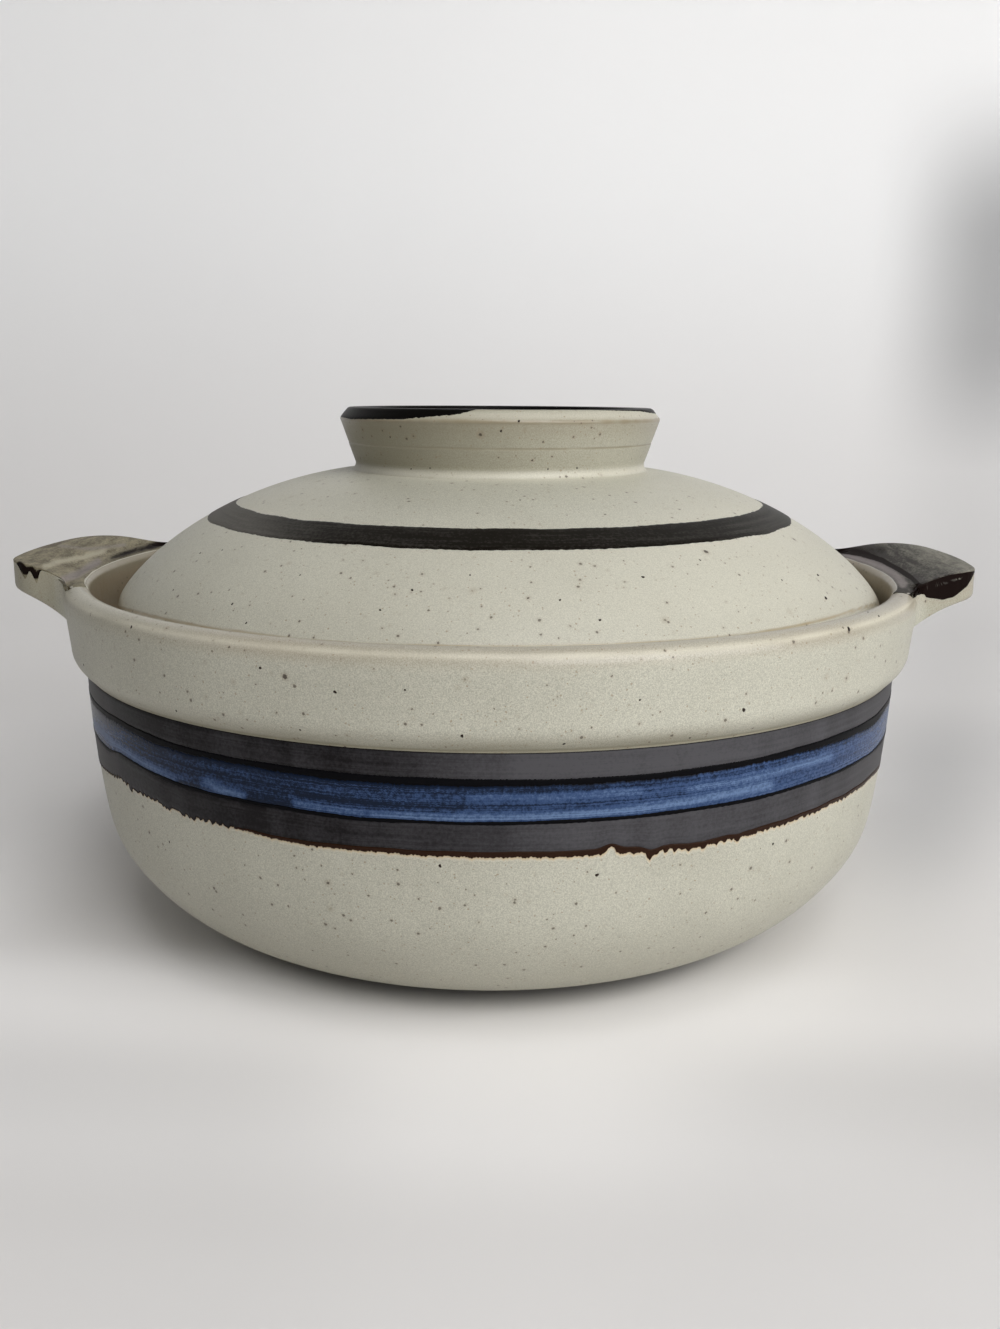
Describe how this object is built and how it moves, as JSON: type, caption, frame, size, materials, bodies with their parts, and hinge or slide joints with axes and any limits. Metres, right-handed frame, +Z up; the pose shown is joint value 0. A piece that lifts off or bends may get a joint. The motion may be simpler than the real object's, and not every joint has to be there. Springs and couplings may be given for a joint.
{
  "type": "casserole dish",
  "caption": "Round lidded stoneware casserole with a wide collar, flat side lugs and a domed lid with a hollow ring knob, banded in iron and cobalt glaze.",
  "frame": {"origin": "on the table, under the pot's axis, at the bottom of the foot ring", "axes": "+Z up along the pot's axis, +X through the right lug, +Y away from the side that the picture shows"},
  "size_m": [0.2898, 0.2564, 0.1541],
  "materials": {
    "stoneware": "satin, speckled",
    "iron_glaze": "satin",
    "black_glaze": "satin",
    "cobalt_glaze": "gloss, streaked",
    "lid_iron_glaze": "satin, brushed",
    "lug_iron_glaze": "satin, brushed"
  },
  "bodies": {
    "bowl": {"bowl_body": "stoneware", "lug_left": "stoneware", "lug_right": "stoneware", "upper_iron_band": "iron_glaze", "upper_black_line": "black_glaze", "cobalt_band": "cobalt_glaze", "lower_black_line": "black_glaze", "lower_iron_band": "iron_glaze", "lug_glaze_left": "lug_iron_glaze", "lug_glaze_right": "lug_iron_glaze"},
    "lid": {"lid_dome": "stoneware", "lid_iron_band": "lid_iron_glaze", "knob_ring": "stoneware", "knob_rim_glaze": "black_glaze"}
  },
  "joints": [
    {"name": "lid_lift", "type": "slide", "parent": "bowl", "child": "lid", "axis": [0, 0, 1], "range_m": [0, 0.16]}
  ]
}
